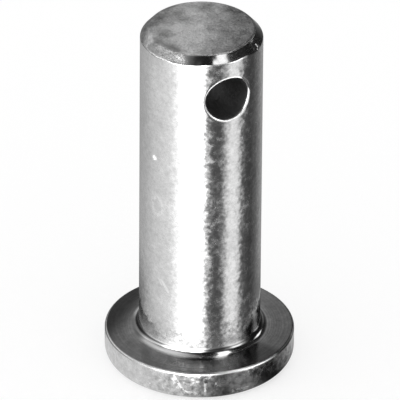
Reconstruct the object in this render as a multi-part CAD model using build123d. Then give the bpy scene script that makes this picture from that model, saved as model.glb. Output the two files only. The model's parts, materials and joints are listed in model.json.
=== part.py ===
from build123d import *
import os

# Headed clevis pin: one turned piece of steel, with a flat round head at its
# foot and a cross hole for a split pin near its tip.  Millimetres.  +Z runs
# from the head to the tip, the cross hole lies along Y, and the origin is the
# middle of the head's outer face, on which the pin can stand.

# Shank
SHANK_DIAMETER = 8.0
SHANK_LENGTH = 22.5            # from the head's bearing face to the tip face
TIP_CHAMFER_RADIAL = 0.55      # how far the tip chamfer comes in
TIP_CHAMFER_AXIAL = 0.62       # how far it comes down the shank
TIP_EDGE_BREAK = 0.08          # the chamfer's own two edges, dulled

# Head
HEAD_DIAMETER = 12.5
HEAD_THICKNESS = 2.2
HEAD_RIM_RADIUS = 0.22         # rim of the bearing face
HEAD_BACK_RADIUS = 0.8         # larger rounding at the outer face
NECK_FILLET = 0.36             # where the shank meets the head

# Cross hole for the split pin
HOLE_DIAMETER = 3.0
HOLE_TO_TIP = 3.3              # hole centre to the tip face
HOLE_EDGE_BREAK = 0.12         # deburred mouths

EDGE_TOLERANCE = 1e-4          # how closely an edge is looked for by its size

shank_radius = SHANK_DIAMETER / 2
head_radius = HEAD_DIAMETER / 2
bearing_z = HEAD_THICKNESS
tip_z = bearing_z + SHANK_LENGTH
chamfer_z = tip_z - TIP_CHAMFER_AXIAL
hole_z = tip_z - HOLE_TO_TIP


def ring_edges(body, radius, z):
    """The body's round edges of this radius about the axis, at height z."""
    return [
        edge for edge in body.edges().filter_by(GeomType.CIRCLE)
        if abs(edge.radius - radius) < EDGE_TOLERANCE
        and abs(edge.center().Z - z) < EDGE_TOLERANCE
    ]


# The head is a disc with a small radius on the bearing side, where it meets
# the fork, and a larger one on the outer side.
head = Cylinder(head_radius, HEAD_THICKNESS, align=(Align.CENTER, Align.CENTER, Align.MIN))
head = fillet(ring_edges(head, head_radius, 0), HEAD_BACK_RADIUS)
head = fillet(ring_edges(head, head_radius, bearing_z), HEAD_RIM_RADIUS)

# The shank grows out of the head, with a fillet at the neck that keeps a
# crack from starting there.
shank = Pos(0, 0, bearing_z) * Cylinder(
    shank_radius, SHANK_LENGTH, align=(Align.CENTER, Align.CENTER, Align.MIN))
pin = fillet(ring_edges(head + shank, shank_radius, bearing_z), NECK_FILLET)

# The tip has a lead-in chamfer, so that the pin finds its hole, and the
# chamfer's own edges are dulled.
pin = chamfer(
    ring_edges(pin, shank_radius, tip_z), TIP_CHAMFER_RADIAL, TIP_CHAMFER_AXIAL,
    reference=pin.faces().sort_by(Axis.Z)[-1])
pin = fillet(
    ring_edges(pin, shank_radius - TIP_CHAMFER_RADIAL, tip_z)
    + ring_edges(pin, shank_radius, chamfer_z),
    TIP_EDGE_BREAK)

# The cross hole is drilled square through the shank's centre line, and each
# of its two saddle-shaped mouths is deburred.
drill = Pos(0, 0, hole_z) * Rot(90, 0, 0) * Cylinder(HOLE_DIAMETER / 2, 2 * SHANK_DIAMETER)
pin = pin - drill
mouths = [
    edge for edge in pin.edges().filter_by(GeomType.LINE, reverse=True)
    if abs(edge.bounding_box().size.Z - HOLE_DIAMETER) < EDGE_TOLERANCE
]
pin = chamfer(mouths, HOLE_EDGE_BREAK)

clevis_pin = pin.solid()
clevis_pin.label = "clevis_pin"

os.makedirs("parts", exist_ok=True)
export_step(clevis_pin, "parts/clevis_pin.step")
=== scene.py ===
import json
from math import atan2, cos, degrees, hypot, pi, radians, sin, sqrt, tan

import bmesh
import bpy
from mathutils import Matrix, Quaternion, Vector


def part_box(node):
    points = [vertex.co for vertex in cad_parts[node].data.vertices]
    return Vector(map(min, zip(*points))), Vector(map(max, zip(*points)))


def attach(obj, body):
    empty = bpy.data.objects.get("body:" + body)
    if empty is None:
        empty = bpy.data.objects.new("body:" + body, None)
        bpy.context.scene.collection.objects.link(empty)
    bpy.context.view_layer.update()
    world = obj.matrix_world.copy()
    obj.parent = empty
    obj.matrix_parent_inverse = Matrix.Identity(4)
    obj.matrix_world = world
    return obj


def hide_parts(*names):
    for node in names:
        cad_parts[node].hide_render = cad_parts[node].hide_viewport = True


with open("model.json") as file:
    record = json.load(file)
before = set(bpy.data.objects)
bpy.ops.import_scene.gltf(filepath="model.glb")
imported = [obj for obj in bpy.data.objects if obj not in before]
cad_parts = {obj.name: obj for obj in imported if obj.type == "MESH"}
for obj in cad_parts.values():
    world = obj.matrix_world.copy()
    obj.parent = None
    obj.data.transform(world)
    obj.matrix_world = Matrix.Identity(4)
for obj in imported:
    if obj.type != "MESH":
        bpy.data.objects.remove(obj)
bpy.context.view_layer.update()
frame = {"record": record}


# ---------------------------------------------------------------- the camera
# A long lens looks down on the pin from the side where the cross hole opens
# to the right of the middle.  The pin leans a touch to the right in view.
mm = 0.001
camera_azimuth = radians(-27.3)
camera_elevation = radians(31.0)
camera_roll = radians(0.44)
camera_distance = 0.600
lens_length, sensor_width = 825.4, 36
aim_height = 11.68 * mm
aim_aside = -0.027 * mm

toward_camera = Vector((
    sin(camera_azimuth) * cos(camera_elevation),
    -cos(camera_azimuth) * cos(camera_elevation),
    sin(camera_elevation)))
camera_right = Vector((cos(camera_azimuth), sin(camera_azimuth), 0))
aim = Vector((0, 0, aim_height)) + aim_aside * camera_right
bpy.ops.object.camera_add(location=aim + camera_distance * toward_camera)
camera = bpy.context.object
camera.name = "camera"
camera.data.sensor_width = sensor_width
camera.data.lens = lens_length
camera.rotation_mode = "QUATERNION"
camera.rotation_quaternion = (
    toward_camera.to_track_quat("Z", "Y") @ Quaternion((0, 0, 1), camera_roll))
bpy.context.scene.camera = camera
bpy.context.scene.view_settings.view_transform = "Standard"


# ---------------------------------------------- the head, neck, shank and tip
# The clevis pin is one piece of steel, turned on a lathe and cropped at the tip.
# It grows ring by ring from one circle: round the head's edges, in over the bearing
# face, up the neck and shank, and in over the chamfer to the crowned end.
mounts = {mount["name"]: mount for mount in frame["record"]["mounts"]}
pin_low, pin_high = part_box("clevis_pin")
head_radius = (pin_high.x - pin_low.x) / 2
bearing_height = mounts["bearing_face"]["pos_m"][2]
shank_radius = mounts["shank"]["dims"]["r_mm"] * mm
hole_height = mounts["cross_hole"]["pos_m"][2]
tip_height = pin_high.z
segments = 480
back_radius = 0.8 * mm
rim_radius = 0.18 * mm
rim_height = bearing_height - 0.04 * mm
face_top = bearing_height + 0.03 * mm
tip_crown = 0.10 * mm
neck_fillet = 0.52 * mm
chamfer_radial = 0.55 * mm
chamfer_axial = 0.62 * mm
lower_bend = 0.22 * mm
upper_bend = 0.30 * mm
window_half_height = 2.1 * mm

bpy.ops.object.select_all(action="DESELECT")
bpy.ops.mesh.primitive_circle_add(
    vertices=segments, radius=head_radius - back_radius, fill_type="NOTHING")
pin = bpy.context.object
pin.name = "clevis_pin_plated"
bpy.ops.object.mode_set(mode="EDIT")
bpy.ops.mesh.select_all(action="SELECT")
ring = {"radius": head_radius - back_radius, "height": 0.0}


def turn_to(radius, height):
    """Draws the open edge out to a new ring."""
    bpy.ops.mesh.extrude_edges_move(
        TRANSFORM_OT_translate={"value": (0, 0, height - ring["height"])})
    scale = radius / ring["radius"]
    bpy.ops.transform.resize(value=(scale, scale, 1), center_override=(0, 0, height))
    ring.update(radius=radius, height=height)


def turn_straight(radius, height, steps):
    """Moves to a new ring in equal steps."""
    start_radius, start_height = ring["radius"], ring["height"]
    for step in range(1, steps + 1):
        share = step / steps
        turn_to(start_radius + (radius - start_radius) * share,
                start_height + (height - start_height) * share)


def turn_round(centre_radius, centre_height, radius, first, last, steps):
    """Follows an arc about a point of the section, angles in degrees from outwards."""
    for step in range(1, steps + 1):
        angle = radians(first + (last - first) * step / steps)
        turn_to(centre_radius + radius * cos(angle), centre_height + radius * sin(angle))


turn_round(head_radius - back_radius, back_radius, back_radius, -90, 0, 12)
turn_straight(head_radius, rim_height - rim_radius, 22)
turn_round(head_radius - rim_radius, rim_height - rim_radius, rim_radius, 0, 90, 10)
turn_straight(shank_radius + neck_fillet, face_top, 10)
turn_round(shank_radius + neck_fillet, face_top + neck_fillet, neck_fillet, -90, -180, 16)
turn_straight(shank_radius, hole_height - window_half_height, 8)
turn_straight(shank_radius, hole_height + window_half_height, 20)

# The chamfer's slope, with both of its edges well dulled.
slope = atan2(chamfer_radial, chamfer_axial)
lower_edge = tip_height - chamfer_axial
upper_edge = shank_radius - chamfer_radial
lower_tangent = lower_bend * tan(slope / 2)
upper_tangent = upper_bend * tan((pi / 2 - slope) / 2)
turn_straight(shank_radius, lower_edge - lower_tangent, 3)
turn_round(shank_radius - lower_bend, lower_edge - lower_tangent, lower_bend,
           0, degrees(slope), 8)
turn_straight(upper_edge + upper_tangent * sin(slope), tip_height - upper_tangent * cos(slope), 5)
turn_round(upper_edge - upper_tangent, tip_height - upper_bend, upper_bend,
           degrees(slope), 90, 8)
bpy.ops.mesh.fill_grid(span=segments // 4)


def select_where(part, test):
    """Selects the vertices, edges or faces that pass the test, and nothing else."""
    bpy.ops.mesh.select_all(action="DESELECT")
    mesh = bmesh.from_edit_mesh(pin.data)
    for item in getattr(mesh, part):
        if test(item):
            item.select_set(True)
    bmesh.update_edit_mesh(pin.data)


# The end is drawn up to a slight crown, and the head's outer face is closed.
select_where("verts", lambda vertex: vertex.co.z > tip_height - 0.001 * mm
             and hypot(vertex.co.x, vertex.co.y) < 0.02 * mm)
bpy.ops.transform.translate(
    value=(0, 0, tip_crown), use_proportional_edit=True, use_proportional_connected=True,
    proportional_edit_falloff="INVERSE_SQUARE", proportional_size=upper_edge)
select_where("edges", lambda edge: edge.is_boundary)
bpy.ops.mesh.fill_grid(span=segments // 4)


def on_wall(turn, height, wall_radius):
    """A place on an upright wall laid out flat; turn in degrees from the camera's side."""
    return Vector((radians(turn) * wall_radius, height))


def knock(start, end, core, reach, push, lift=0.0):
    """Dents a wall or an edge along a line, and draws the metal about it along.

    A place is its turn in degrees and its height in metres; the rest is in mm.
    """
    first, last = on_wall(*start, head_radius), on_wall(*end, head_radius)

    def apart(vertex):
        turn = atan2(vertex.co.x, -vertex.co.y) - camera_azimuth
        place = Vector((turn * head_radius, vertex.co.z))
        share = (place - first).dot(last - first) / max((last - first).length_squared, 1e-12)
        return (place - first - min(1, max(0, share)) * (last - first)).length

    on_head = end[1] <= bearing_height
    outer = 0.95 * head_radius if on_head else shank_radius - chamfer_radial
    select_where("verts", lambda vertex: hypot(vertex.co.x, vertex.co.y) > outer
                 and apart(vertex) < core * mm)
    scale = 1 - push * mm / head_radius
    bpy.ops.transform.resize(
        value=(scale, scale, 1), center_override=(0, 0, 0), use_proportional_edit=True,
        use_proportional_connected=True, proportional_edit_falloff="SMOOTH",
        proportional_size=reach * mm)
    if lift:
        bpy.ops.transform.translate(
            value=(0, 0, lift * mm), use_proportional_edit=True, use_proportional_connected=True,
            proportional_edit_falloff="SMOOTH", proportional_size=reach * mm)


# The head has been knocked about: scores and dents in its side, nicks in its edge.
knock((-15.5, 1.80 * mm), (-9.5, 0.90 * mm), 0.09, 0.26, 0.025)
knock((2.6, 1.75 * mm), (2.8, 0.62 * mm), 0.07, 0.26, 0.020)
knock((-8, 0.78 * mm), (0, 0.76 * mm), 0.08, 0.24, 0.020)
knock((-10.0, 1.66 * mm), (-9.8, 1.62 * mm), 0.10, 0.24, 0.018)
knock((10, 1.36 * mm), (10.2, 1.33 * mm), 0.08, 0.22, 0.015)
knock((21, 0.70 * mm), (31, 0.80 * mm), 0.08, 0.24, 0.030)
knock((87, 1.50 * mm), (88, 1.30 * mm), 0.08, 0.30, 0.040)
# The chamfer was cut unevenly, so its lower edge wanders up and down.
chamfer_lifts = ((-52, -0.03), (-37, 0.02), (-25, -0.03), (3, 0.04), (42, 0.04), (66, -0.04))
for turn, lift in chamfer_lifts:
    knock((turn, lower_edge), (turn + 5, lower_edge), 0.12, 0.55, 0.0, lift)


# ----------------------------------------------------------- the cross hole
# A split pin's hole goes straight through the shank near its tip.  It was
# drilled, and each mouth was deburred, which leaves a thin bright ring.
hole_radius = mounts["cross_hole"]["dims"]["r_mm"] * mm
burr = 0.15 * mm
mouth_steps, bend_steps = 7, 4
window_half_angle = 41 * 2 * pi / segments


def in_window(point, side):
    """Whether a point lies in the patch of shank wall round one mouth."""
    return (abs(point.z - hole_height) < window_half_height * 1.001
            and hypot(point.x, point.y) > shank_radius * 0.99
            and abs(atan2(point.x, side * point.y)) < window_half_angle * 1.001)


def redraw(place):
    """Extrudes the selected loop, and puts each new vertex where place says.

    A depth of None keeps the vertex on the shank's wall.
    """
    bpy.ops.mesh.extrude_edges_move(TRANSFORM_OT_translate={"value": (0, 0, 0)})
    mesh = bmesh.from_edit_mesh(pin.data)
    for vertex in mesh.verts:
        if vertex.select:
            along = hypot(vertex.co.x, vertex.co.z - hole_height)
            turn = atan2(vertex.co.z - hole_height, vertex.co.x)
            reach, depth = place(along, abs(vertex.co.y))
            x = reach * cos(turn)
            if depth is None:
                depth = sqrt(shank_radius ** 2 - x ** 2)
            side_depth = depth if vertex.co.y > 0 else -depth
            vertex.co = (x, side_depth, hole_height + reach * sin(turn))
    bmesh.update_edit_mesh(pin.data)


# At each mouth a patch of wall is cut out, and its edge is drawn in to the mouth,
# bent over the lip and taken down the bore; the two half bores are then bridged.
for side in (-1, 1):
    select_where("faces", lambda face: in_window(face.calc_center_median(), side))
    bpy.ops.mesh.delete(type="FACE")
    select_where("edges", lambda edge: edge.is_boundary and in_window(edge.verts[0].co, side)
                 and in_window(edge.verts[1].co, side))
    for remaining in range(mouth_steps, 0, -1):
        redraw(lambda along, depth: (along + (hole_radius + burr - along) / remaining, None))
    for step in range(1, bend_steps + 1):
        bend = radians(90) * step / bend_steps
        before = radians(90) * (step - 1) / bend_steps
        redraw(lambda along, depth: (
            hole_radius + burr * (1 - sin(bend)), depth - burr * (cos(before) - cos(bend))))
    for depth_share in (0.6, 0.25):
        redraw(lambda along, depth: (hole_radius, depth_share * shank_radius))

select_where("edges", lambda edge: edge.is_boundary)
bpy.ops.mesh.bridge_edge_loops()
bpy.ops.mesh.select_all(action="SELECT")
bpy.ops.mesh.normals_make_consistent(inside=False)
bpy.ops.object.mode_set(mode="OBJECT")
bpy.ops.object.shade_smooth()


# ------------------------------------------------------- the plated finish
# Zinc over turned steel: bright but not polished, with a fine orange peel
# over slow waves.  The cropped tip and the drilled bore stay rough; the bore is painted dark as
# shade in the hole, and the head's bearing face keeps the rings that the lathe tool left.
def new_material(name):
    material = bpy.data.materials.new(name)
    material.use_nodes = True
    return material


def node(kind, **settings):
    made = tree.nodes.new(kind)
    for name, value in settings.items():
        setattr(made, name, value)
    return made


def link(source, target):
    tree.links.new(source, target)


def reckon(operation, first, second=None, third=None):
    """One Math node; each input is a socket or a number."""
    made = node("ShaderNodeMath", operation=operation)
    for socket, value in zip(made.inputs, (first, second, third)):
        if value is None:
            continue
        if hasattr(value, "node"):
            link(value, socket)
        else:
            socket.default_value = value
    return made.outputs[0]


def times(first, second):
    return reckon("MULTIPLY", first, second)


def plus(first, second):
    return reckon("ADD", first, second)


def rest_of(share):
    """What is left of 1 after a share."""
    return reckon("SUBTRACT", 1.0, share)


def blend(share, first, second):
    """Goes from first to second as share goes from 0 to 1."""
    return plus(times(share, reckon("SUBTRACT", second, first)), first)


def fade(value, low, high):
    """0 at low and 1 at high, smooth between; low may be the larger."""
    made = node("ShaderNodeMapRange", interpolation_type="SMOOTHSTEP")
    link(value, made.inputs["Value"])
    made.inputs["From Min"].default_value = low
    made.inputs["From Max"].default_value = high
    return made.outputs[0]


def grain(size, detail=2.0, rough=0.5, seed=0.0):
    """Noise about zero with grains of one size."""
    made = node("ShaderNodeTexNoise", noise_dimensions="4D")
    made.inputs["W"].default_value = seed
    made.inputs["Scale"].default_value = 1 / size
    made.inputs["Detail"].default_value = detail
    made.inputs["Roughness"].default_value = rough
    link(place, made.inputs["Vector"])
    return reckon("SUBTRACT", made.outputs[0], 0.5)


plating = new_material("zinc_plating")
tree = plating.node_tree
place = node("ShaderNodeTexCoord").outputs["Object"]
split = node("ShaderNodeSeparateXYZ")
link(place, split.inputs[0])
x, y, z = split.outputs
radius = reckon("SQRT", plus(times(x, x), times(y, y)))
above_hole = reckon("SUBTRACT", z, hole_height)
from_bore = reckon("SQRT", plus(times(x, x), times(above_hole, above_hole)))


def toward(direction):
    """How far a point lies out in one direction, in degrees from the camera's side."""
    turn = camera_azimuth + radians(direction)
    return plus(times(x, sin(turn)), times(y, -cos(turn)))


def facing(direction):
    """1 where the pin's side faces one direction, falling off to either side."""
    return reckon("DIVIDE", toward(direction), radius)


# Where each surface lies: 1 on it, 0 off it, and a short blend at its edge.  The
# neck corner is the steep middle of the neck's fillet.
below_shank = fade(z, face_top + 1.10 * neck_fillet, face_top + 0.85 * neck_fillet)
on_neck = times(below_shank, fade(
    radius, shank_radius + 1.50 * neck_fillet, shank_radius + 1.15 * neck_fillet))
neck_corner = times(
    times(on_neck, fade(z, face_top + 0.17 * neck_fillet, face_top + 0.42 * neck_fillet)),
    fade(z, face_top + 0.86 * neck_fillet, face_top + 0.64 * neck_fillet))
bearing_face = times(
    times(below_shank, fade(z, bearing_height / 2, bearing_height - 0.3 * mm)),
    times(fade(radius, shank_radius + 0.55 * neck_fillet, shank_radius + 1.10 * neck_fillet),
          fade(radius, head_radius - 0.25 * rim_radius, head_radius - 0.90 * rim_radius)))
rim = times(fade(z, rim_height - 1.05 * rim_radius, rim_height - 0.75 * rim_radius),
            fade(radius, head_radius - 1.1 * rim_radius, head_radius - 0.8 * rim_radius))
head_side = times(fade(z, rim_height - 0.7 * rim_radius, rim_height - 1.1 * rim_radius),
                  fade(radius, head_radius - 0.35 * mm, head_radius - 0.22 * mm))
bore = fade(from_bore, hole_radius + 0.05 * mm, hole_radius + 0.01 * mm)
# The chamfer is cut clean at the front and right, and torn like the end face at the left.
end_face = fade(z, tip_height - 0.12 * mm, tip_height - 0.02 * mm)
chamfer = fade(z, lower_edge - 0.02 * mm, lower_edge + 0.03 * mm)
torn = times(fade(z, lower_edge - 0.05 * mm, lower_edge + 0.10 * mm),
             fade(toward(-75), 1.75 * mm, 2.4 * mm))
tip_face = reckon("MAXIMUM", end_face, torn)

# Three sizes of unevenness that the whole plating shares.
cloud = grain(2.4 * mm, 3.0, 0.55, seed=11.0)
blotch = grain(0.45 * mm, 2.0, 0.6, seed=13.0)
speck = grain(0.15 * mm, 1.0, 0.6, seed=15.0)

# Marks on the walls are placed by their turn from the camera's side.
turn_here = reckon("DEGREES", reckon("ARCTAN2", toward(90), toward(0)))


def stroke(start_turn, start_height, end_turn, end_height, half_width, wall_radius):
    """1 on a scraped line down an upright wall, in degrees and mm, and 0 beside it."""
    share = reckon("DIVIDE", plus(z, -start_height * mm), (end_height - start_height) * mm)
    line = blend(share, start_turn, end_turn)
    across = times(reckon("ABSOLUTE", reckon("SUBTRACT", turn_here, line)),
                   radians(1) * wall_radius)
    across = plus(across, plus(times(speck, 0.10 * mm), times(blotch, 0.16 * mm)))
    return times(fade(across, (half_width + 0.05) * mm, (half_width - 0.03) * mm),
                 times(fade(share, -0.06, 0.02), fade(share, 1.06, 0.98)))


# Bare lines on the head's side, and two fainter ones low on the shank's left.
scraped = stroke(-15.8, 2.02, -9.9, 0.84, 0.09, head_radius)
for line in ((3.7, 2.02, 3.7, 0.50, 0.07), (-3.0, 1.55, -4.6, 1.25, 0.06),
             (-5.5, 0.80, -2.5, 0.50, 0.34), (26.0, 0.70, 26.0, 0.42, 0.60),
             (10.2, 1.45, 10.2, 1.28, 0.06), (-30.4, 0.92, -30.4, 0.80, 0.10),
             (-34.8, 0.62, -34.8, 0.48, 0.10)):
    scraped = reckon("MAXIMUM", scraped, stroke(*line, head_radius))
scraped = times(times(scraped, head_side), fade(plus(blotch, times(speck, 0.6)), -0.13, 0.03))
grazed = stroke(-39.0, 7.45, -30.5, 6.65, 0.11, shank_radius)
grazed = reckon("MAXIMUM", grazed, stroke(-42.5, 7.50, -38.5, 7.05, 0.06, shank_radius))


def from_spot(turn, height, tall):
    """How far a point of the shank lies from a place on it; tall squeezes the height."""
    aside = times(reckon("SUBTRACT", turn_here, turn), radians(1) * shank_radius)
    above = times(plus(z, -height * mm), 1 / tall)
    return reckon("SQRT", plus(times(aside, aside), times(above, above)))


# A small mark in the chamfer at the right: raised a little in the relief and painted white as a
# highlight.
chip_and_glint = fade(from_spot(68.0, 24.06, 1.0), 0.30 * mm, 0.05 * mm)

# Heights of the relief, in millimetres: orange peel all over, tool rings on the
# bearing face, a torn surface where the steel was cropped or drilled, and more
# unevenness on the head's right side, which is the most worn.
peel = plus(times(grain(0.55 * mm, 1.0, 0.5, seed=1.0), 0.012),
            times(grain(1.4 * mm, 1.0, 0.5, seed=3.0), 0.022))
tool_rings = node("ShaderNodeTexNoise", noise_dimensions="1D")
link(radius, tool_rings.inputs["W"])
tool_rings.inputs["Scale"].default_value = 1 / (0.13 * mm)
tool_rings.inputs["Detail"].default_value = 2
tool_mark = reckon("SUBTRACT", tool_rings.outputs[0], 0.5)
cropped = plus(times(grain(0.22 * mm, 3.0, 0.7, seed=5.0), 0.05),
               times(grain(1.5 * mm, 2.0, 0.5, seed=7.0), 0.12))
relief = blend(below_shank, peel, times(peel, 0.4))
relief = blend(bearing_face, relief, plus(times(peel, 0.4), times(tool_mark, 0.004)))
worn = fade(facing(50), -0.05, 0.70)
relief = blend(head_side, relief, plus(peel, times(
    grain(0.55 * mm, 1.0, seed=9.0), blend(worn, 0.012, 0.038))))
relief = blend(chamfer, relief, times(peel, 0.15))
relief = plus(relief, times(chip_and_glint, 0.06))
relief = blend(tip_face, relief, cropped)
relief = blend(bore, relief, times(cropped, 0.6))
bump = node("ShaderNodeBump")
bump.inputs["Distance"].default_value = mm
link(relief, bump.inputs["Height"])

# The plating's own fine crystals tilt the surface this way and that, grain by grain.
crystals = node("ShaderNodeTexNoise", noise_dimensions="4D")
crystals.inputs["W"].default_value = 21.0
crystals.inputs["Scale"].default_value = 1 / (0.24 * mm)
crystals.inputs["Detail"].default_value = 1.0
link(place, crystals.inputs["Vector"])
off_level = node("ShaderNodeVectorMath", operation="SUBTRACT")
link(crystals.outputs["Color"], off_level.inputs[0])
off_level.inputs[1].default_value = (0.5, 0.5, 0.5)
tilt = node("ShaderNodeVectorMath", operation="SCALE")
link(off_level.outputs[0], tilt.inputs[0])
tilt_amount = blend(below_shank, 0.17, 0.04)
tilt_amount = blend(head_side, tilt_amount, blend(worn, 0.08, 0.20))
tilt_amount = blend(chamfer, tilt_amount, 0.03)
tilt_amount = blend(tip_face, tilt_amount, 0.20)
link(tilt_amount, tilt.inputs["Scale"])
tilted = node("ShaderNodeVectorMath", operation="ADD")
link(bump.outputs[0], tilted.inputs[0])
link(tilt.outputs[0], tilted.inputs[1])
surface_normal = node("ShaderNodeVectorMath", operation="NORMALIZE")
link(tilted.outputs[0], surface_normal.inputs[0])

# How bright the metal is, and how sharply it mirrors.
mottle = plus(times(cloud, 0.25), plus(times(blotch, 0.34), times(speck, 0.28)))
bright = plus(0.80, mottle)


def patch(right, front, reach, soft):
    """1 within reach of a place on the end face, seen from above, and 0 beyond."""
    aside = plus(toward(90), -right * mm)
    ahead = plus(toward(0), -front * mm)
    apart = reckon("SQRT", plus(times(aside, aside), times(ahead, ahead)))
    apart = plus(apart, times(blotch, 0.8 * mm))
    return fade(apart, (reach + soft) * mm, (reach - soft) * mm)


# The bearing face is dull and ringed, painted lighter by the neck as a painted reflection,
# and darkened with painted shade at the far left, at the front right and at the front.
# Painted shade at the far left of the bearing face.
face_left_shade = times(fade(toward(-116), 3.4 * mm, 5.5 * mm), 0.84)
# Painted shade at the front right: a painted dark reflection of the shank.
face_right_shade = times(fade(facing(47), 0.965, 0.992), 0.5)
face_right_shade = times(face_right_shade, blend(fade(radius, 4.9 * mm, 5.4 * mm), 0.7, 1.0))
face_tone = plus(0.235, plus(times(mottle, 0.45), times(tool_mark, 0.14)))
# Painted reflection: the face is lighter by the neck.
face_tone = times(face_tone, plus(1.0, times(fade(radius, 4.95 * mm, 4.6 * mm), 0.3)))
face_tone = times(face_tone, rest_of(face_right_shade))
# Painted shade at the front, close to the neck.
face_front_shade = times(fade(facing(1), 0.950, 0.994), fade(radius, 5.6 * mm, 4.9 * mm))
face_tone = times(face_tone, rest_of(times(face_front_shade, 0.5)))
# Painted shade in the neck: at the far left, at the shank's foot on the right,
# and in the corner all round but at the front left.
left_shade = times(fade(facing(-82), 0.89, 0.985), 0.66)
foot_shade = times(fade(facing(64), 0.975, 0.992), 0.62)
foot_shade = times(foot_shade, fade(z, 4.0 * mm, 3.4 * mm))
bright = times(bright, rest_of(foot_shade))
bright = blend(on_neck, bright, reckon("SUBTRACT", 0.90, left_shade))
corner_shade = times(fade(facing(18), 0.962, 0.985), 0.7)
# Painted shade in the neck's corner, lifted at the front left.
corner_shaded_tone = blend(fade(facing(-17), 0.93, 0.975), 0.29, 0.90)
corner_shaded_tone = times(corner_shaded_tone, times(rest_of(corner_shade), rest_of(left_shade)))
bright = blend(neck_corner, bright, corner_shaded_tone)
# The rim is bright, with painted shade at the right and painted shade dimming its highlight along
# its left.
rim_shade = times(fade(facing(66), 0.975, 0.990), 0.75)
# Painted shade over the band of the rim's rounding that would show a bright highlight, along its
# left.
rim_left_shade = times(fade(z, rim_height - 0.80 * rim_radius, rim_height - 0.60 * rim_radius),
                  fade(z, rim_height - 0.28 * rim_radius, rim_height - 0.42 * rim_radius))
rim_left_shade = times(rim_left_shade, times(fade(facing(-62), 0.72, 0.86), 0.6))
rim_tone = times(plus(0.92, mottle), rest_of(rim_shade))
bright = blend(rim, bright, times(rim_tone, rest_of(rim_left_shade)))
bright = blend(bearing_face, bright, times(face_tone, rest_of(face_left_shade)))
# The cropped end has painted light at the front left and painted shade to the right and
# back left, and is darker in patches: right, front, reach, soft edge and strength, below zero where
# it is paler.
end_tone = blend(fade(toward(80), -0.2 * mm, 2.8 * mm), 0.80, 0.40)
end_tone = times(end_tone, blend(fade(toward(-118), 2.3 * mm, 3.1 * mm), 1.0, 0.50))
for right, front, reach, soft, strength in (
        (-2.3, 1.0, 0.45, 0.40, 0.48), (-2.7, -0.9, 0.50, 0.40, 0.30),
        (-1.7, -1.6, 0.50, 0.4, 0.35), (-1.2, -0.9, 0.30, 0.30, 0.32),
        (-3.1, 1.9, 0.35, 0.3, 0.30), (0.3, -2.6, 0.6, 0.4, 0.30),
        (2.1, -2.4, 0.6, 0.5, 0.45), (-0.7, -1.7, 0.25, 0.2, -0.20),
        (-0.9, 1.1, 1.2, 0.9, -0.32), (-1.5, 0.2, 0.4, 0.3, -0.20),
        (1.0, 0.2, 0.7, 0.5, 0.16)):
    end_tone = times(end_tone, blend(patch(right, front, reach, soft), 1.0, 1 - strength))
end_tone = plus(end_tone, plus(times(grain(0.6 * mm, 3.0, 0.7, seed=17.0), 0.9), times(speck, 0.5)))
# The chamfer's tone, painted white as a highlight at that mark.
bright = blend(chamfer, bright, blend(chip_and_glint, plus(0.58, times(mottle, 0.5)), 1.0))
torn_shade = blend(times(torn, fade(toward(-22), 2.0 * mm, 3.4 * mm)), 1.0, 0.47)
bright = blend(tip_face, bright, times(end_tone, torn_shade))
# The head's side is the more uneven the more it is worn, and bare where scraped.
bright = blend(head_side, bright, plus(0.80, times(
    plus(mottle, times(blotch, 0.55)), blend(worn, 0.6, 2.5))))
bright = blend(times(scraped, 0.7), bright, 1.0)
# The shank's left has the two fainter scrapes, a drop's dried edge and a bare fleck.
bright = plus(bright, times(times(grazed, fade(blotch, -0.16, -0.02)), 0.20))
fleck = fade(from_spot(-48.6, 16.46, 0.85), 0.36 * mm, 0.10 * mm)
edge_of_mark = reckon("ABSOLUTE", plus(
    from_spot(-44.7, 12.95, 1.35), plus(times(blotch, 0.9 * mm), -0.50 * mm)))
bright = plus(bright, times(fade(edge_of_mark, 0.15 * mm, 0.03 * mm), 0.14))
bright = blend(fleck, bright, 1.0)
# The deburred mouths are painted bright all round as if they caught the light, with painted shade at
# the upper right.
lip = times(fade(from_bore, hole_radius + 1.25 * burr, hole_radius + 0.95 * burr),
            fade(from_bore, hole_radius + 0.15 * burr, hole_radius + 0.35 * burr))
unlit = fade(plus(times(x, 0.86), times(above_hole, 0.51)), 0.94 * hole_radius, 1.01 * hole_radius)
bright = blend(lip, bright, rest_of(times(unlit, 0.93)))
# The bore is painted dark, a painted shade in the hole.
bright = blend(bore, bright, 0.20)

# Roughness: each surface's own, laid over those before it.
dull = plus(0.18, plus(times(cloud, 0.20), times(grain(0.50 * mm, 2.0, 0.6, seed=19.0), 0.60)))
dull = blend(on_neck, dull, 0.12)
dull = blend(bearing_face, dull, 0.15)
dull = blend(rim, dull, 0.30)
dull = blend(head_side, dull, plus(0.20, times(blotch, 0.3)))
dull = blend(scraped, dull, 0.48)
dull = blend(fleck, dull, 0.65)
dull = blend(chamfer, dull, 0.14)
dull = blend(tip_face, dull, plus(0.43, times(cloud, 0.2)))
dull = blend(lip, dull, 0.36)
dull = blend(bore, dull, 0.5)

shader = tree.nodes["Principled BSDF"]
shader.inputs["Metallic"].default_value = 1
tone = node("ShaderNodeCombineColor")
for socket in tone.inputs:
    link(bright, socket)
link(tone.outputs[0], shader.inputs["Base Color"])
link(dull, shader.inputs["Roughness"])
link(surface_normal.outputs[0], shader.inputs["Normal"])
pin.data.materials.append(plating)
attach(pin, "root")
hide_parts("clevis_pin")


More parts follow.
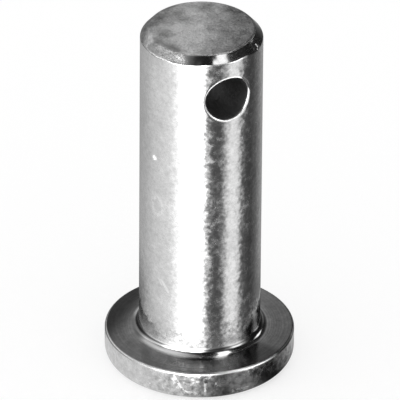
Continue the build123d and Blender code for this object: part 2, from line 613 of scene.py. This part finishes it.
# ------------------------------------------------------- the studio around it
# Bright metal shows what stands round it: white and grey cards at the front
# and left, black cloth at the right, and a strip lamp overhead.  Each ring
# lists brightness by azimuth in degrees, from the camera's side to the right.
low_ring = (
    (-180, .30), (-150, .42), (-131, .46), (-112, .56), (-97, .68), (-84, .72), (-61, .84),
    (-54, .95), (-47, 1.16), (-38, 1.5), (-30, 2.2), (3, 2.2), (8.5, 1.05), (12.5, .48), (17, .17),
    (26, .085), (37, .085), (43, .24), (49, .60), (56, .94), (68, .94), (75, .80), (80, .45),
    (85, .14), (94, .07), (108, .05), (126, .12), (140, .22), (155, .34), (180, .30))
level_ring = (
    (-180, .12), (-160, .08), (-140, .10), (-130, .15), (-115, .22), (-100, .32), (-88, .42),
    (-73, .62), (-60, .82), (-50, 1.1), (-42, 1.8), (-30, 2.8), (6, 2.8), (12, 1.1), (18, .30),
    (24, .14), (37, .10), (45, .20), (52, .60), (58, 1.0), (73, 1.0), (82, .45), (90, .10),
    (104, .02), (140, .02), (150, .08), (165, .14), (180, .12))
middle_ring = (
    (-180, .62), (-165, .48), (-152, .56), (-136, .74), (-120, 1.05), (-104, 1.4), (-88, 1.9),
    (-72, 2.9), (-56, 4.2), (-45, 6.4), (8, 6.4), (15, 1.6), (22, .6), (42, .55),
    (49, 1.5), (56, 3.3), (76, 3.3), (83, 1.0), (90, .30), (100, .01), (155, .01), (168, .08),
    (175, .40), (180, .62))
shoulder_ring = (
    (-180, .48), (-160, .46), (-139, .38), (-120, .40), (-98, .52), (-81, .46), (-54, .40),
    (-27, .42), (-5, .45), (12, .25), (27, .20), (45, .35), (54, .50), (64, .15), (72, .03),
    (117, .01), (148, .01), (165, .05), (173, .30), (180, .48))
high_ring = (
    (-180, .40), (-165, .42), (-150, .46), (-130, .54), (-113, .54), (-90, .58), (-70, .60),
    (-57, .55), (-44, .36), (-31, .20), (-16, .05), (-2, .01), (12, .005), (60, .01), (100, .005),
    (148, .01), (165, .08), (180, .40))
ceiling_left, ceiling_right = 0.66, 0.01
# The strip lamp runs overhead from front right to back, and widens to the front.
lamp_centre, lamp_along, lamp_half_length = (0.46, 0.135), (0.42, 0.907), 0.64
lamp_half_width, lamp_taper, lamp_soft, lamp_level = 0.13, 0.07, 0.04, 1.8
# One small card with a soft edge stands at the back right.
card_azimuth, card_elevation, card_level = 128, 25, 1.25
card_half_width, card_half_height, card_soft = 8, 7.5, 2
# Steeply below the pin there is bright white, which the bore's lip picks up.
level_below = 2.2

world = bpy.data.worlds.new("studio")
bpy.context.scene.world = world
world.use_nodes = True
tree = world.node_tree
tree.nodes.clear()

turned = node("ShaderNodeVectorRotate", rotation_type="Z_AXIS")
turned.inputs["Angle"].default_value = -camera_azimuth
link(node("ShaderNodeTexCoord").outputs["Generated"], turned.inputs["Vector"])
split = node("ShaderNodeSeparateXYZ")
link(turned.outputs[0], split.inputs[0])
rightward, upward = split.outputs["X"], split.outputs["Z"]
frontward = times(split.outputs["Y"], -1)
azimuth = reckon("DEGREES", reckon("ARCTAN2", rightward, frontward))
elevation = reckon("DEGREES", reckon("ARCSINE", upward))


def level_round(stops):
    """Brightness by azimuth, from a list of stops."""
    ramp = node("ShaderNodeValToRGB")
    ramp.color_ramp.interpolation = "LINEAR"
    elements = ramp.color_ramp.elements
    while len(elements) < len(stops):
        elements.new(0.5)
    for element, (angle, level) in zip(elements, stops):
        element.position = (angle + 180) / 360
    for element, (angle, level) in zip(elements, stops):
        element.color = (level, level, level, 1)
    link(reckon("DIVIDE", plus(azimuth, 180), 360), ramp.inputs[0])
    return ramp.outputs["Color"]


level = blend(fade(elevation, -44, -54), level_round(low_ring), level_below)
level = blend(fade(elevation, -24, -8), level, level_round(level_ring))
level = blend(fade(elevation, 4, 16), level, level_round(middle_ring))
level = blend(fade(elevation, 27, 32), level, level_round(shoulder_ring))
level = blend(fade(elevation, 38, 46), level, level_round(high_ring))

# The ceiling is laid out flat, one unit up.
drop = reckon("MAXIMUM", upward, 0.1)
ceiling_x = reckon("DIVIDE", rightward, drop)
ceiling_y = reckon("DIVIDE", frontward, drop)
ceiling_edge = plus(ceiling_x, times(plus(reckon("MAXIMUM", ceiling_y, 0.30), -0.30), 0.70))
level = blend(fade(elevation, 50, 60), level,
              blend(fade(ceiling_edge, -0.45, 0.12), ceiling_left, ceiling_right))
from_lamp_x = reckon("SUBTRACT", ceiling_x, lamp_centre[0])
from_lamp_y = reckon("SUBTRACT", ceiling_y, lamp_centre[1])
along = plus(times(from_lamp_x, lamp_along[0]), times(from_lamp_y, lamp_along[1]))
aside = reckon("ABSOLUTE", plus(times(from_lamp_x, lamp_along[1]),
                                times(from_lamp_y, -lamp_along[0])))
past_edge = reckon("SUBTRACT", aside, plus(
    lamp_half_width, times(along, lamp_taper / lamp_half_length)))
past_end = reckon("SUBTRACT", reckon("ABSOLUTE", along), lamp_half_length)
on_lamp = times(times(fade(past_edge, lamp_soft, -lamp_soft), fade(past_end, lamp_soft, -lamp_soft)),
                fade(upward, 0.3, 0.5))
level = blend(on_lamp, level, lamp_level)
across = reckon("ABSOLUTE", reckon("WRAP", reckon("SUBTRACT", azimuth, card_azimuth), 180, -180))
above = reckon("ABSOLUTE", reckon("SUBTRACT", elevation, card_elevation))
on_card = times(fade(across, card_half_width + card_soft, card_half_width - card_soft),
                fade(above, card_half_height + card_soft, card_half_height - card_soft))
level = blend(on_card, level, card_level)

# Only the metal sees the cards; to the eye the backdrop is plain white.
seen = node("ShaderNodeLightPath")
in_metal = reckon("MAXIMUM", seen.outputs["Is Glossy Ray"], seen.outputs["Is Transmission Ray"])
plain = node("ShaderNodeBackground")
plain.inputs["Color"].default_value = (1, 1, 1, 1)
surround = node("ShaderNodeBackground")
link(level, surround.inputs["Color"])
mix = node("ShaderNodeMixShader")
link(in_metal, mix.inputs[0])
link(plain.outputs[0], mix.inputs[1])
link(surround.outputs[0], mix.inputs[2])
link(mix.outputs[0], node("ShaderNodeOutputWorld").inputs[0])


# ------------------------------------------------------------------ the floor
# The floor is white board.  The metal sees it only close round the head, where
# it glows with painted light at the left and painted shade at the right; farther out the
# metal sees past it to the cards.
floor_ring = (
    (-180, .15), (-125, .18), (-112, .28), (-100, .65), (-37, .70), (-25, .60), (-12, .58),
    (0, .42), (6, .22), (12, .10), (19, .07), (25, .16), (37, .16), (43, .07), (48, .02),
    (63, .012), (68, .06), (75, .13), (85, .22), (95, .35), (110, .45), (180, .50))
near_reach = 9.7 * mm
# Past that a painted shadow of the head lies on the board, for the metal's eye alone, deepest behind
# the pin.
shade_ring = (
    (-180, .20), (-135, .20), (-117, .30), (-103, .58), (-92, .75), (-70, .85), (-50, .95),
    (-30, 1.0), (60, 1.0), (100, .90), (126, .50), (150, .25), (180, .20))
shade_start, shade_reach = 7 * mm, 17 * mm
lift_to_white = 0.65

bpy.ops.mesh.primitive_plane_add(size=6)
floor = bpy.context.object
floor.name = "floor"
board = new_material("white_board")
tree = board.node_tree
matt = tree.nodes["Principled BSDF"]
matt.inputs["Base Color"].default_value = (1, 1, 1, 1)
matt.inputs["Roughness"].default_value = 1
matt.inputs["Specular IOR Level"].default_value = 0
clean_white = node("ShaderNodeEmission")
clean_white.inputs["Color"].default_value = (1, 1, 1, 1)
turned = node("ShaderNodeVectorRotate", rotation_type="Z_AXIS")
turned.inputs["Angle"].default_value = -camera_azimuth
link(node("ShaderNodeTexCoord").outputs["Object"], turned.inputs["Vector"])
split = node("ShaderNodeSeparateXYZ")
link(turned.outputs[0], split.inputs[0])
azimuth = reckon("DEGREES", reckon(
    "ARCTAN2", split.outputs["X"], times(split.outputs["Y"], -1)))
reach = reckon("SQRT", plus(times(split.outputs["X"], split.outputs["X"]),
                            times(split.outputs["Y"], split.outputs["Y"])))
# The near board glows with painted light and shade, for the metal's eye alone.
near = node("ShaderNodeEmission")
link(level_round(floor_ring), near.inputs["Color"])
in_reflection = node("ShaderNodeMixShader")
link(fade(reach, near_reach - 0.2 * mm, near_reach + 0.2 * mm), in_reflection.inputs[0])
link(near.outputs[0], in_reflection.inputs[1])
beyond = node("ShaderNodeBsdfTransparent")
link(blend(fade(reach, shade_start, shade_reach), level_round(shade_ring), 1.0),
     beyond.inputs["Color"])
link(beyond.outputs[0], in_reflection.inputs[2])
# To the eye the board is lifted toward clean white, and keeps the pin's shadow.
seen = node("ShaderNodeLightPath")
lifted = node("ShaderNodeMixShader")
link(times(seen.outputs["Is Camera Ray"], lift_to_white), lifted.inputs[0])
link(matt.outputs[0], lifted.inputs[1])
link(clean_white.outputs[0], lifted.inputs[2])
mix = node("ShaderNodeMixShader")
link(reckon("MAXIMUM", seen.outputs["Is Glossy Ray"], seen.outputs["Is Transmission Ray"]),
     mix.inputs[0])
link(lifted.outputs[0], mix.inputs[1])
link(in_reflection.outputs[0], mix.inputs[2])
link(mix.outputs[0], tree.nodes["Material Output"].inputs["Surface"])
floor.data.materials.append(board)
